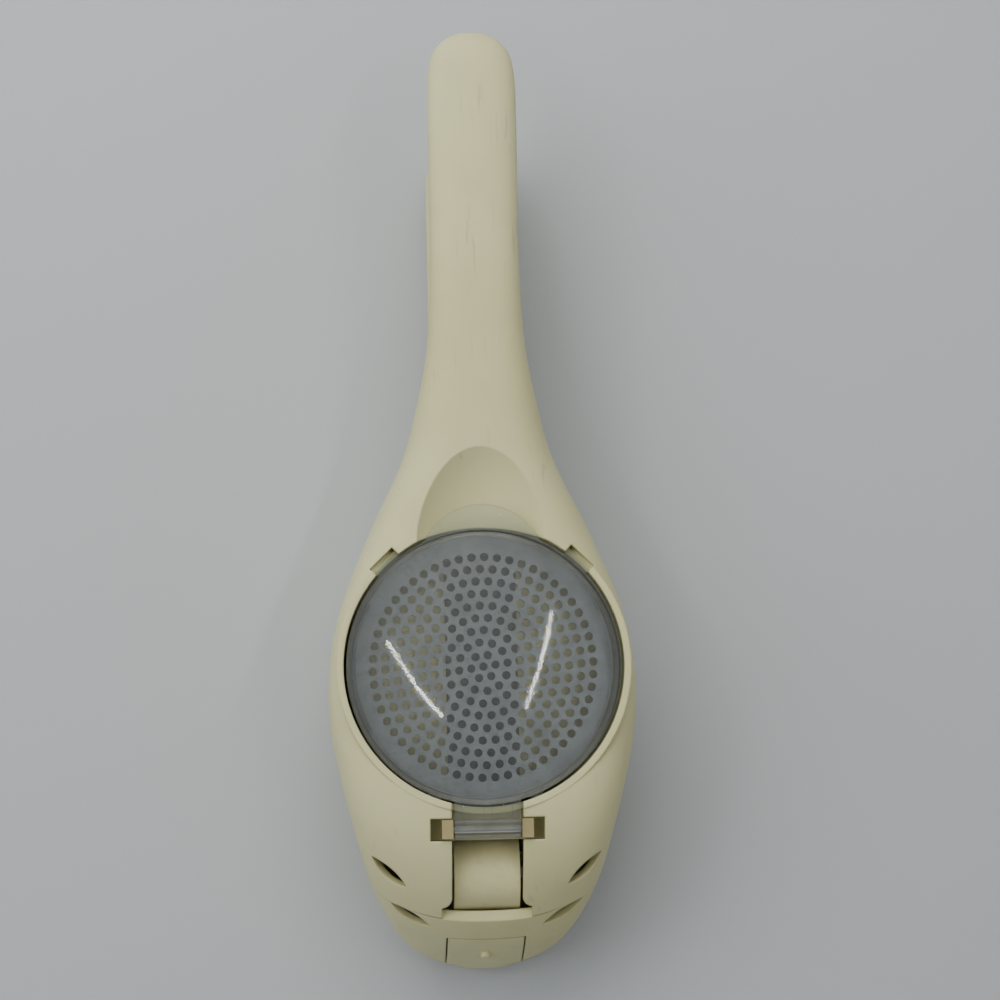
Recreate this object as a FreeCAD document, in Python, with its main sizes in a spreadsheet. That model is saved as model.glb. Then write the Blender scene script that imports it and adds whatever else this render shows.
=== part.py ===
import FreeCAD, Part
import math
import os
import re

import Sketcher

# Garlic press: a two-part casing with a long top handle, a squeeze lever below it, a plunger that
# the lever lifts against a round sieve, and a clear domed lid over the sieve.
#
# Millimetres. X to the right, +Y towards the handle, -Y towards the nose, Z up. The origin is on the
# table, straight under the axis of the sieve. Every piece is drawn released: lever down, lid shut.

Vector = FreeCAD.Vector
Rotation = FreeCAD.Rotation
Placement = FreeCAD.Placement

doc = FreeCAD.newDocument("GarlicPress")
sheet = doc.addObject("Spreadsheet::Sheet", "Sizes")
size_names = []
nodes = {}


def put(name, value, note):
    """Write one size in the sheet's next row, and give it back."""
    size_names.append(name)
    row = str(len(size_names))
    sheet.set("A" + row, name)
    sheet.set("B" + row, "%.4f" % value)
    sheet.setAlias("B" + row, name)
    sheet.set("C" + row, note)
    return value


# ---------------------------------------------------------------- driving sizes

# Sieve and pressing chamber
sieve_pitch = put("sieve_pitch", 3.26, "step from one ring of holes to the next")
sieve_rings = int(put("sieve_rings", 9, "rings of holes round the centre hole"))
hole_diameter = put("hole_diameter", 2.2, "hole in the sieve")
sieve_margin = put("sieve_margin", 4.6, "plain edge outside the last ring")
sieve_thickness = put("sieve_thickness", 1.2, "sheet of the sieve")
sieve_phase = put("sieve_phase", 8.3, "turn of the whole hole pattern, degrees")
sieve_floor = put("sieve_floor", 46.0, "height of the sieve's underside")
gasket_thickness = put("gasket_thickness", 0.6, "gasket under the sieve")
seat_width = put("seat_width", 2.5, "width of the seat that carries the sieve's edge")
chamber_depth = put("chamber_depth", 14.4, "height of the chamber wall")
flange_lip = put("flange_lip", 1.4, "flange outside the chamber wall")
flange_thickness = put("flange_thickness", 1.6, "flange at the top of the chamber")

# Plunger
plunger_gap = put("plunger_gap", 0.5, "plunger to chamber wall, on the radius")
plunger_thickness = put("plunger_thickness", 5.0, "plunger disc")
plunger_reserve = put("plunger_reserve", 0.7, "plunger to sieve at full squeeze")
stud_gap = put("stud_gap", 0.35, "stud to hole, on the radius")
spine_width = put("spine_width", 19.4, "steel bar along the plunger")
spine_thickness = put("spine_thickness", 2.4, "steel bar along the plunger")
spine_sink = put("spine_sink", 0.8, "bar's top below the plunger's face")
plunger_travel = put("plunger_travel", 7.6, "lift of the plunger")
plunger_lug = put("plunger_lug", 3.0, "lugs that hold the cross pin")

# Lever and its pivot
pivot_setback = put("pivot_setback", 17.0, "pivot in front of the shell's opening")
pivot_height = put("pivot_height", 34.0, "pivot above the table")
pin_radius = put("pin_radius", 2.5, "main pivot pin")
running_gap = put("running_gap", 0.05, "running fit, on the radius")
slot_gap = put("slot_gap", 0.1, "cross pin in the slots of the plunger")
bush_wall = put("bush_wall", 1.2, "pivot bush")
knuckle_radius = put("knuckle_radius", 10.2, "knuckle of the lever")
knuckle_width = put("knuckle_width", 17.5, "knuckle of the lever")
ear_gap = put("ear_gap", 3.2, "knuckle to pivot ear")
ear_thickness = put("ear_thickness", 3.5, "pivot ear of the chamber")
clip_thickness = put("clip_thickness", 1.0, "clip on the end of the pivot pin")
arm_width = put("arm_width", 19.6, "steel press arm")
arm_thickness = put("arm_thickness", 4.0, "steel press arm where it lies in the lever")
cross_pin_radius = put("cross_pin_radius", 2.0, "pin from the arm to the plunger")
lever_wall = put("lever_wall", 2.2, "walls of the squeeze lever")
lever_width = put("lever_width", 24.0, "squeeze lever")
lever_front_depth = put("lever_front_depth", 9.5, "depth of the lever at its front")
lever_end_depth = put("lever_end_depth", 7.0, "depth of the lever at its end")
lever_end_height = put("lever_end_height", 12.5, "top of the lever's end above the table")
lever_start_height = put("lever_start_height", 24.0, "top of the lever's front end above the table")
lever_knee_height = put("lever_knee_height", 20.9, "top of the lever at its knee above the table")
arm_rear_height = put("arm_rear_height", 23.4, "top of the press arm behind the chamber above the table")
lever_short = put("lever_short", 24.0, "lever's end in front of the handle's end")
lever_corner = put("lever_corner", 8.5, "round corners of the lever's end")

# Casing
shell_wall = put("shell_wall", 2.2, "walls of the casing")
rim_gap = put("rim_gap", 0.6, "chamber flange to the shell's opening")
shoulder = put("shoulder", 4.3, "casing outside the opening")
rim_height = put("rim_height", 54.6, "collar round the opening, above the table")
collar_wall = put("collar_wall", 1.8, "collar round the opening")
collar_depth = put("collar_depth", 10.0, "collar round the opening")
handle_reach = put("handle_reach", 174.4, "end of the handle from the sieve's axis")
handle_half = put("handle_half", 12.0, "half the handle's width")
handle_depth = put("handle_depth", 14.2, "handle from top to bottom")
lever_side_gap = put("lever_side_gap", 1.6, "lever to its slot, each side")
slot_half = put("slot_half", 9.4, "half the U-shaped slot over the knuckle")
scoop_half = put("scoop_half", 17.2, "half the finger scoop's width behind the lid")
scoop_reach = put("scoop_reach", 20.8, "tip of the finger scoop behind the opening")
scoop_length = put("scoop_length", 24.0, "finger scoop from its deepest place to its tip")
scoop_depth = put("scoop_depth", 7.5, "finger scoop from its mouth to its deepest place")
scoop_mouth = put("scoop_mouth", 0.6, "mouth of the finger scoop above the collar")
gill_length = put("gill_length", 12.4, "slit-shaped gill")
gill_width = put("gill_width", 3.8, "slit-shaped gill")

# Fasteners
post_radius = put("post_radius", 3.4, "screw posts of the casing")
screw_radius = put("screw_radius", 1.5, "screws")
screw_head_radius = put("screw_head_radius", 2.6, "screw heads")
screw_head_thickness = put("screw_head_thickness", 1.8, "screw heads")
rivet_radius = put("rivet_radius", 1.8, "rivets of the arm")

# Lid
lid_gap = put("lid_gap", 0.75, "lid to the shell's opening, on the radius")
lid_wall = put("lid_wall", 1.6, "clear lid")
dome_rise = put("dome_rise", 8.4, "dome above the lid's rim")
lid_rim_depth = put("lid_rim_depth", 3.5, "rim under the dome")
lid_rim_sink = put("lid_rim_sink", 0.6, "top of the lid's rim below the collar")
skirt_gap = put("skirt_gap", 0.4, "skirt arcs above the sieve")
tab_rise = put("tab_rise", 1.1, "top of the lifting tab above the lid's rim")
skirt_inset = put("skirt_inset", 0.4, "skirt arcs inside the lid's rim")
skirt_wall = put("skirt_wall", 2.0, "skirt arcs")
skirt_reach = put("skirt_reach", 16.5, "half the length of a skirt arc")
tab_thickness = put("tab_thickness", 1.8, "lifting tab")
tab_reach = put("tab_reach", 6.3, "lifting tab outside the lid's rim")
tab_radius = put("tab_radius", 16.8, "lifting tab")
lid_hinge_setback = put("lid_hinge_setback", 5.6, "lid hinge in front of the opening")
lid_hinge_sink = put("lid_hinge_sink", 3.1, "lid hinge below the collar")
lid_pin_radius = put("lid_pin_radius", 1.0, "lid hinge pin")
barrel_radius = put("barrel_radius", 2.4, "barrel of the lid hinge")
leaf_half = put("leaf_half", 8.6, "half the lid's hinge leaf")
bracket_ear = put("bracket_ear", 3.0, "ears of the lid hinge bracket")
seat_thickness = put("seat_thickness", 1.6, "shelf that carries the hinge bracket")
lug_angle = put("lug_angle", 43.0, "snap lugs from the handle's direction, degrees")
lug_width = put("lug_width", 7.4, "snap lugs of the lid")

# Springs
return_spring_radius = put("return_spring_radius", 4.0, "return spring, middle of its wire")
return_wire = put("return_wire", 0.7, "half the return spring's wire")
return_pitch = put("return_pitch", 3.2, "return spring")
return_setback = put("return_setback", 10.0, "return spring behind the opening")
return_foot = put("return_foot", 21.9, "foot of the return spring above the table")
return_seat = put("return_seat", 46.2, "seat of the return spring above the table")
lock_spring_radius = put("lock_spring_radius", 2.6, "nose lock spring, middle of its wire")
lock_wire = put("lock_wire", 0.35, "half the nose lock spring's wire")
lock_pitch = put("lock_pitch", 2.0, "nose lock spring")
lock_spring_length = put("lock_spring_length", 11.5, "nose lock spring")
spring_z = put("spring_z", 13.0, "axis of the nose lock spring above the table")

# Nose lock
lock_half = put("lock_half", 10.3, "half the nose lock flap")
lock_gap = put("lock_gap", 0.4, "flap to its opening")
lock_top = put("lock_top", 30.5, "top of the flap above the table")
lock_bottom = put("lock_bottom", 8.0, "bottom of the flap above the table")

# ---------------------------------------------------------------- sizes that follow from them

sieve_radius = put("sieve_radius", sieve_rings * sieve_pitch + hole_diameter / 2 + sieve_margin, "sieve")
bore_radius = put("bore_radius", sieve_radius - seat_width, "inside of the chamber")
flange_radius = put("flange_radius", sieve_radius + flange_lip, "chamber flange")
opening_radius = put("opening_radius", flange_radius + rim_gap, "opening of the upper shell")
head_half = put("head_half", opening_radius + shoulder, "half the casing's width")
sieve_top = put("sieve_top", sieve_floor + sieve_thickness, "top of the sieve")
chamber_top = put("chamber_top", sieve_floor - gasket_thickness, "top of the chamber")
chamber_floor = put("chamber_floor", chamber_top - chamber_depth, "bottom of the chamber")
plunger_radius = put("plunger_radius", bore_radius - plunger_gap, "plunger disc")
plunger_top = put("plunger_top", sieve_floor - plunger_reserve - plunger_travel, "plunger's face, released")
plunger_bottom = put("plunger_bottom", plunger_top - plunger_thickness, "plunger's underside, released")
stud_radius = put("stud_radius", hole_diameter / 2 - stud_gap, "studs of the plunger")
pivot_y = put("pivot_y", -opening_radius - pivot_setback, "place of the pivot")
lever_turn = put("lever_turn", math.degrees(math.atan(plunger_travel / -pivot_y)), "full squeeze, degrees")
cross_pin_z = put("cross_pin_z", pivot_height - plunger_travel + 0.2, "place of the cross pin, released")
ear_start = put("ear_start", knuckle_width / 2 + ear_gap, "inner face of a pivot ear")
pin_half = put("pin_half", ear_start + ear_thickness + 2 * clip_thickness, "half the pivot pin")
lever_end = put("lever_end", handle_reach - lever_short, "end of the lever")
arm_hold = put("arm_hold", 20.0, "the arm's hold in the lever")
lever_knee = put("lever_knee", opening_radius + 21.0, "place where the lever's floor turns")
lever_knee_z = put("lever_knee_z", lever_knee_height - lever_front_depth + lever_wall, "lever's floor at its knee")
lever_floor_end = put("lever_floor_end", lever_end_height - lever_end_depth + lever_wall, "lever's floor at its end")
floor_fall = (lever_knee_z - lever_floor_end) / (lever_end - lever_wall - lever_knee)
arm_end_z = put("arm_end_z", lever_knee_z - arm_hold * floor_fall, "lever's floor under the arm's end")
dome_radius = put("dome_radius", opening_radius - lid_gap, "lid's rim")
lid_rim_top = put("lid_rim_top", rim_height - lid_rim_sink, "top of the lid's rim")
lid_hinge_y = put("lid_hinge_y", -opening_radius - lid_hinge_setback, "place of the lid hinge")
lid_hinge_z = put("lid_hinge_z", rim_height - lid_hinge_sink, "place of the lid hinge")
hinge_seat_z = put("hinge_seat_z", lid_hinge_z - 5.0, "top of the shelf under the hinge bracket")

doc.recompute()

# ---------------------------------------------------------------- helpers


def words(text):
    """An expression in the sheet's words, as the document wants it."""
    return re.sub(r"[a-z][a-z_]+", r"Sizes.\g<0>", text)


def bind(thing, sizes):
    """Bind properties of a thing to expressions in the sheet's words."""
    for name, text in sizes.items():
        thing.setExpression(name, words(text))
    return thing


def place(thing, x, y, z):
    """Bind a thing's place."""
    return bind(thing, {"Placement.Base.x": x, "Placement.Base.y": y, "Placement.Base.z": z})


def box(name, x_size, y_size, z_size, x, y, z):
    """A bound box by its sizes and lowest corner."""
    thing = doc.addObject("Part::Box", name)
    bind(thing, {"Length": x_size, "Width": y_size, "Height": z_size})
    return place(thing, x, y, z)


def post(name, radius, height, x, y, z):
    """A bound upright cylinder by its foot."""
    thing = doc.addObject("Part::Cylinder", name)
    bind(thing, {"Radius": radius, "Height": height})
    return place(thing, x, y, z)


def rod(name, radius, length, x, y, z):
    """A bound cylinder along X by its left end."""
    thing = doc.addObject("Part::Cylinder", name)
    thing.Placement = Placement(Vector(), Rotation(Vector(0, 1, 0), 90))
    bind(thing, {"Radius": radius, "Height": length})
    return place(thing, x, y, z)


def fuse(name, things):
    """Several things as one solid."""
    made = doc.addObject("Part::MultiFuse", name)
    made.Shapes = things
    return made


def cut(name, base, tool):
    """One thing less another."""
    made = doc.addObject("Part::Cut", name)
    made.Base = base
    made.Tool = tool
    return made


def common(name, base, tool):
    """What two things share."""
    made = doc.addObject("Part::Common", name)
    made.Base = base
    made.Tool = tool
    return made


def group(name, things):
    """Like pieces kept as separate solids."""
    made = doc.addObject("Part::Compound", name)
    made.Links = things
    return made


def coil(name, radius, height, pitch, wire, centre, turn):
    """A bound coil spring: a circle swept along a helix."""
    helix = doc.addObject("Part::Helix", name + "_helix")
    bind(helix, {"Radius": radius, "Height": height, "Pitch": pitch})
    circle = doc.addObject("Part::Circle", name + "_wire")
    circle.Placement = Placement(Vector(), Rotation(Vector(1, 0, 0), 90))
    bind(circle, {"Radius": wire, "Placement.Base.x": radius})
    sweep = doc.addObject("Part::Sweep", name)
    sweep.Sections = [circle]
    sweep.Spine = (helix, ["Edge1"])
    sweep.Solid = True
    sweep.Frenet = True
    sweep.Placement = Placement(Vector(), turn)
    return place(sweep, *centre)


def feature(name, shape):
    """A piece whose shape is worked out here."""
    made = doc.addObject("Part::Feature", name)
    made.Shape = shape
    return made


def node(name, thing):
    """Name a finished piece."""
    thing.Label = name
    nodes[name] = thing
    return thing


def new_body(name):
    """An empty body."""
    return doc.addObject("PartDesign::Body", name)


def origin_part(owner, role):
    """A plane or an axis of a body's origin."""
    return [part for part in owner.Origin.OriginFeatures if part.Role == role][0]


def new_sketch(owner, name, role):
    """A sketch on one of a body's origin planes."""
    made = owner.newObject("Sketcher::SketchObject", name)
    made.AttachmentSupport = (origin_part(owner, role), "")
    made.MapMode = "FlatFace"
    return made


def pin_point(sketch, line, end, across, along):
    """Bind one point of a sketch to a place."""
    for kind, text in (("DistanceX", across), ("DistanceY", along)):
        index = sketch.addConstraint(Sketcher.Constraint(kind, -1, 1, line, end, 1.0))
        sketch.setExpression("Constraints[%d]" % index, words(text))


def outline(sketch, corners):
    """A closed outline of straight lines whose corners are bound."""
    count = len(corners)
    rough = []
    for step in range(count):
        angle = 2 * math.pi * step / count
        rough.append(Vector(math.cos(angle), math.sin(angle), 0))
    first = sketch.GeometryCount
    for step in range(count):
        sketch.addGeometry(Part.LineSegment(rough[step], rough[(step + 1) % count]), False)
    for step in range(count):
        following = first + (step + 1) % count
        sketch.addConstraint(Sketcher.Constraint("Coincident", first + step, 2, following, 1))
    for step, (across, along) in enumerate(corners):
        pin_point(sketch, first + step, 1, across, along)


def ring(sketch, radius, across, along):
    """A bound circle."""
    made = sketch.addGeometry(Part.Circle(Vector(), Vector(0, 0, 1), 1.0), False)
    pin_point(sketch, made, 3, across, along)
    index = sketch.addConstraint(Sketcher.Constraint("Radius", made, 1.0))
    sketch.setExpression("Constraints[%d]" % index, words(radius))


def pad(owner, name, sketch, length, symmetric=True):
    """A sketch thickened, both ways from its plane or one way."""
    made = owner.newObject("PartDesign::Pad", name)
    made.Profile = sketch
    made.SideType = "Symmetric" if symmetric else "One side"
    return bind(made, {"Length": length})


def pocket(owner, name, sketch, length):
    """A sketch cut out, both ways from its plane."""
    made = owner.newObject("PartDesign::Pocket", name)
    made.Profile = sketch
    made.SideType = "Symmetric"
    return bind(made, {"Length": length})


def upright_edges(shape, y, x):
    """Names of a shape's upright edges at one y and at both sides of x."""
    found = []
    for index, edge in enumerate(shape.Edges):
        low, high = edge.Vertexes[0].Point, edge.Vertexes[-1].Point
        across = max(abs(abs(low.x) - x), abs(abs(high.x) - x), abs(low.x - high.x))
        along = max(abs(low.y - y), abs(high.y - y))
        if across < 0.01 and along < 0.01:
            found.append("Edge%d" % (index + 1))
    return found


def round_corners(owner, name, y, x, radius):
    """Round the upright corners of a body at one y."""
    base = owner.Tip
    edges = upright_edges(base.Shape, y, x)
    made = owner.newObject("PartDesign::Fillet", name)
    made.Base = (base, edges)
    bind(made, {"Radius": radius})
    doc.recompute()


# ---------------------------------------------------------------- casing

# One smooth body runs through upright sections from the nose to the end of the handle. It is then
# hollowed and parted along the seam. Each section is two superellipse halves that meet at its
# widest line, and its poles stand a little outside it, because the skin passes inside its poles.
SECTION_POLES = 28
FAIRING = 1.008
NOSE_SHARE = 0.5  # how far the hollow steps back from the nose, in walls
BASE = -0.6  # the skin under the head, before the base is cut flat at the table
FAR = 300.0

nose = -opening_radius
tail = opening_radius
handle_top = rim_height + 1.2
handle_bottom = handle_top - handle_depth


def neck(share):
    """Half the width between the handle's and the head's: 0 is the handle, 1 the head."""
    return handle_half + share * (head_half - handle_half)


# y, half width, top, widest line, bottom, fullness above, fullness below
STATIONS = [
    (nose - 43.9, head_half - 36.8, 10.8, 7.8, 5.0, 2.2, 2.2),
    (nose - 42.8, head_half - 31.6, 13.6, 8.2, 3.4, 2.2, 2.2),
    (nose - 40.6, head_half - 25.6, 19.0, 9.4, 1.9, 2.3, 2.4),
    (nose - 37.6, head_half - 21.2, 26.4, 12.0, 0.9, 2.4, 2.6),
    (nose - 34.0, head_half - 18.0, 33.0, 16.0, 0.3, 2.5, 2.8),
    (nose - 30.2, head_half - 15.6, 38.6, 21.5, BASE, 2.5, 3.0),
    (nose - 25.0, head_half - 12.8, 43.8, 26.0, BASE, 2.6, 3.2),
    (nose - 19.0, head_half - 10.2, 48.0, 28.5, BASE, 3.0, 3.3),
    (nose - 10.0, head_half - 7.6, rim_height - 2.4, 29.0, BASE, 3.7, 3.4),
    (nose, head_half - 5.0, rim_height + 0.2, 28.5, BASE, 4.6, 3.4),
    (nose / 2, head_half - 0.4, rim_height + 1.2, 27.0, BASE, 5.4, 3.4),
    (0.0, head_half + 0.6, rim_height + 1.6, 25.0, BASE, 5.6, 3.4),
    (tail / 2, head_half - 3.4, rim_height + 1.5, 23.0, BASE, 5.4, 3.4),
    (tail * 0.85, head_half - 9.0, rim_height + 1.1, 22.0, 1.2, 4.8, 3.2),
    (tail + 3.5, neck(0.57), rim_height + 0.9, 22.0, 5.2, 4.2, 3.0),
    (tail + 12.0, neck(0.42), rim_height + 0.8, 25.5, 12.4, 3.7, 3.0),
    (tail + 22.0, neck(0.255), rim_height + 0.7, 32.0, 23.0, 3.3, 2.9),
    (tail + 33.0, neck(0.164), rim_height + 0.7, 39.0, 32.6, 3.0, 2.8),
    (tail + 45.0, neck(0.06), rim_height + 0.8, 44.0, 38.6, 2.8, 2.8),
    (tail + 62.0, neck(0.0), rim_height + 0.9, 47.5, handle_bottom - 0.6, 2.7, 2.8),
    (handle_reach - 44.0, neck(0.0), handle_top - 0.2, 49.0, handle_bottom, 2.6, 2.8),
    (handle_reach - 19.0, neck(0.014), handle_top, 49.4, handle_bottom + 0.4, 2.6, 2.8),
    (handle_reach - 9.0, neck(-0.007), handle_top - 0.3, 49.5, handle_bottom + 1.0, 2.5, 2.6),
    (handle_reach - 4.8, neck(-0.065), handle_top - 1.3, 49.5, handle_bottom + 2.0, 2.4, 2.4),
    (handle_reach - 2.0, neck(-0.15), handle_top - 2.9, 49.4, handle_bottom + 3.5, 2.2, 2.2),
    (handle_reach - 0.4, neck(-0.26), handle_top - 4.9, 49.2, handle_bottom + 5.2, 2.0, 2.0),
]


def superellipse(share, fullness):
    """One coordinate of a superellipse from a sine or cosine."""
    return math.copysign(abs(share) ** (2 / fullness), share)


def section(station, inset):
    """Poles of the closed section at one station, drawn inwards by the inset."""
    y, half, top, middle, bottom, above, below = station
    half = half - inset
    top = top - inset
    bottom = bottom + inset
    poles = []
    for step in range(SECTION_POLES):
        angle = 2 * math.pi * (step + 0.5) / SECTION_POLES
        rising = math.sin(angle) >= 0
        fullness = above if rising else below
        height = top - middle if rising else middle - bottom
        x = half * FAIRING * superellipse(math.cos(angle), fullness)
        z = middle + height * FAIRING * superellipse(math.sin(angle), fullness)
        poles.append(Vector(x, y, z))
    return poles


def smooth_tube(sections):
    """A solid with a smooth skin over its sections and a flat cap at each end."""
    count = len(sections)
    places = [section_poles[0].y for section_poles in sections]
    inner_knots = [sum(places[step:step + 3]) / 3 for step in range(1, count - 3)]
    along_knots = [places[0]] + inner_knots + [places[-1]]
    along_turns = [4] + [1] * len(inner_knots) + [4]
    round_knots = [float(step) for step in range(SECTION_POLES + 1)]
    round_turns = [1] * (SECTION_POLES + 1)
    poles = [[section_poles[step] for section_poles in sections] for step in range(SECTION_POLES)]
    skin = Part.BSplineSurface()
    skin.buildFromPolesMultsKnots(poles, round_turns, along_turns, round_knots, along_knots, True, False, 3, 3)
    caps = []
    for place_along in (places[0], places[-1]):
        caps.append(Part.Face(Part.Wire([skin.vIso(place_along).toShape()])))
    shell = Part.Shell([skin.toShape()] + caps)
    shell.sewShape()
    solid = Part.Solid(shell)
    if solid.Volume < 0:
        solid.reverse()
    return solid


def casing_body(inset):
    """The casing's outer body, or with an inset the hollow inside it."""
    sections = []
    for station in STATIONS:
        y = station[0]
        if inset:
            if station in (STATIONS[0], STATIONS[-1]):
                continue
            inward = NOSE_SHARE * min(max((nose + 4.0 - y) / 24.0, 0.0), 1.0)
            if y > handle_reach / 2:
                inward = -min(max((y - handle_reach + 20.0) / 14.0, 0.0), 1.0)
            station = (y + inset * inward,) + station[1:]
        sections.append(section(station, inset))
    return smooth_tube(sections)


def seam_solid(above):
    """All space above the seam, or all below it: level over the nose, then down to the widest line."""
    far = FAR if above else -FAR
    seam = [
        Vector(0, -FAR, 38.5),
        Vector(0, nose - 27.5, 38.5),
        Vector(0, nose - 20.0, 34.0),
        Vector(0, nose - 9.0, 29.4),
        Vector(0, 0, 25.6),
        Vector(0, tail + 22.0, 20.0),
        Vector(0, FAR, 20.0),
    ]
    corners = [Vector(0, -FAR, far)] + seam + [Vector(0, FAR, far), Vector(0, -FAR, far)]
    face = Part.Face(Part.makePolygon(corners))
    face.translate(Vector(-FAR, 0, 0))
    return face.extrude(Vector(2 * FAR, 0, 0))


def upright(radius, x, y, low, high):
    """A plain upright cylinder."""
    return Part.makeCylinder(radius, high - low, Vector(x, y, low))


def block(x_low, x_high, y_low, y_high, z_low, z_high):
    """A plain box between two corners."""
    size = (x_high - x_low, y_high - y_low, z_high - z_low)
    return Part.makeBox(*size, Vector(x_low, y_low, z_low))


def join(base, pieces):
    """A solid grown by one piece after another."""
    for piece in pieces:
        base = base.fuse(piece)
    return base


def gill(x, y, z, along, outward):
    """A lens-shaped slit: its long way, and the way it faces."""
    half = gill_length / 2
    bulge = gill_width / 2
    ends = [Vector(-half, 0, 0), Vector(half, 0, 0)]
    upper = Part.Arc(ends[0], Vector(0, bulge, 0), ends[1]).toShape()
    lower = Part.Arc(ends[1], Vector(0, -bulge, 0), ends[0]).toShape()
    reach = 3 * shell_wall
    lens = Part.Face(Part.Wire([upper, lower])).extrude(Vector(0, 0, 2 * reach))
    lens.translate(Vector(0, 0, -reach))
    lens.Placement = Placement(Vector(x, y, z), Rotation(along, Vector(), outward, "ZXY")).multiply(lens.Placement)
    return lens


def gills():
    """Both pairs of gills, one in each shell."""
    cutters = []
    for side in (-1, 1):
        upper_way = Vector(side * 0.71, 0.70, -0.03)
        upper_face = Vector(side * 0.42, -0.40, 0.81)
        cutters.append(gill(side * (head_half - 14.8), nose - 16.9, 45.4, upper_way, upper_face))
        lower_way = Vector(side * 0.76, 0.65, 0.0)
        lower_face = Vector(side * 0.42, -0.55, 0.72)
        cutters.append(gill(side * (head_half - 21.0), nose - 27.7, 36.0, lower_way, lower_face))
    return cutters


# Screw places: x, y, and the height at which the head seats in its well
casing_places = []
chamber_places = []
chamber_screw_share = 0.67
for side in (-1, 1):
    casing_places.append((side * 25.0, nose - 7.6, 6.0))
    casing_places.append((side * 19.5, tail + 5.4, 15.0))
    for end in (-1, 1):
        chamber_places.append((side * opening_radius * chamber_screw_share,
                               end * opening_radius * chamber_screw_share, 7.0))
casing_post_top = rim_height - shell_wall - 1.5
seam_at_posts = 30.5


def slot_cutter():
    """The U-shaped slot over the knuckle, flared where it meets the front edge."""
    front = nose - 23.6
    flare = 2.6
    corner = Vector(-slot_half, front, 0)
    edge = Vector(-slot_half - flare, front - flare, 0)
    middle = Vector(-slot_half - 0.3 * flare, front - 0.7 * flare, 0)
    arc_left = Part.Arc(corner, middle, edge).toShape()
    mirrored = [Vector(-point.x, point.y, 0) for point in (edge, middle, corner)]
    arc_right = Part.Arc(*mirrored).toShape()
    far_left = Vector(edge.x, -FAR, 0)
    far_right = Vector(-edge.x, -FAR, 0)
    back_left = Vector(-slot_half, nose + 3.0, 0)
    back_right = Vector(slot_half, nose + 3.0, 0)
    lines = [
        Part.makeLine(back_left, corner),
        arc_left,
        Part.makeLine(edge, far_left),
        Part.makeLine(far_left, far_right),
        Part.makeLine(far_right, mirrored[0]),
        arc_right,
        Part.makeLine(mirrored[2], back_right),
        Part.makeLine(back_right, back_left),
    ]
    face = Part.Face(Part.Wire(lines))
    face.translate(Vector(0, 0, 34.2))
    return face.extrude(Vector(0, 0, FAR))


def lever_way():
    """The way the squeeze lever sweeps through the rear of the casing."""
    half = lever_width / 2 + lever_side_gap
    return block(-half, half, tail - 1.0, tail + 46.0, 10.6, 40.4)


def scoop(grow):
    """The bowl of the finger scoop, turned round an axis along Y above it, grown by a wall."""
    across = (scoop_half ** 2 + scoop_depth ** 2) / (2 * scoop_depth)
    along = (scoop_length ** 2 + scoop_depth ** 2) / (2 * scoop_depth)
    axis_z = rim_height + scoop_mouth + across - scoop_depth
    end_radius = across - scoop_depth - 2.0
    reach = math.sqrt((along + grow) ** 2 - (along - across + end_radius) ** 2)
    edges = [
        Part.makeLine(Vector(0, -reach, 0), Vector(0, -reach, -end_radius)),
        Part.Arc(
            Vector(0, -reach, -end_radius),
            Vector(0, 0, -across - grow),
            Vector(0, reach, -end_radius),
        ).toShape(),
        Part.makeLine(Vector(0, reach, -end_radius), Vector(0, reach, 0)),
        Part.makeLine(Vector(0, reach, 0), Vector(0, -reach, 0)),
    ]
    bowl = Part.Face(Part.Wire(edges)).revolve(Vector(), Vector(0, 1, 0), 360)
    bowl.translate(Vector(0, tail + scoop_reach - scoop_length, axis_z))
    return bowl


def hinge_seat():
    """What carries the lid's hinge across the slot: a shelf, its side walls and the collar's low part."""
    front = lid_hinge_y - 2.9
    low = hinge_seat_z - seat_thickness
    shelf = block(-ear_half - seat_thickness, ear_half + seat_thickness, front, nose + 1.0, low, hinge_seat_z)
    pieces = [shelf]
    for side in (-1, 1):
        wall_side = block(0.0, seat_thickness, front, nose, low, rim_height)
        wall_side.translate(Vector(side * ear_half - (seat_thickness if side < 0 else 0.0), 0, 0))
        pieces.append(wall_side)
    bridge = upright(collar_radius, 0, 0, collar_floor, lid_hinge_z - 1.3)
    pieces.append(bridge.common(block(-slot_half - 0.5, slot_half + 0.5, -FAR, nose / 2, 0, FAR)))
    opening = upright(opening_radius, 0, 0, 0, FAR)
    return [piece.common(outer_body).cut(opening) for piece in pieces]


outer_body = casing_body(0.0)
inner_body = casing_body(shell_wall)
hollow_casing = outer_body.cut(inner_body)

# Upper shell: opening with its collar, finger scoop, slots and posts
collar_floor = rim_height - collar_depth
collar_radius = opening_radius + collar_wall
collar = upright(collar_radius, 0, 0, collar_floor, rim_height)
scoop_seat = scoop(shell_wall)
upper = hollow_casing.common(seam_solid(True))
spring_boss = upright(return_spring_radius + 1.6, 0, tail + return_setback, return_seat, rim_height)
upper = join(upper, [collar, scoop_seat.common(outer_body), spring_boss.common(outer_body)])
upper_posts = []
for x, y, seat in casing_places:
    upper_posts.append(upright(post_radius, x, y, seam_at_posts, casing_post_top))
upper = join(upper, [shape.common(outer_body).common(seam_solid(True)) for shape in upper_posts])
ear_half = leaf_half + bracket_ear + 3.4
cutters = [
    upright(opening_radius, 0, 0, collar_floor - 1.0, rim_height + FAR),
    scoop(0.0),
    block(-ear_half, ear_half, lid_hinge_y - 3.0, lid_hinge_y + 2.8, lid_hinge_z - 6.0, rim_height + FAR),
    slot_cutter(),
    lever_way(),
]
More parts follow.
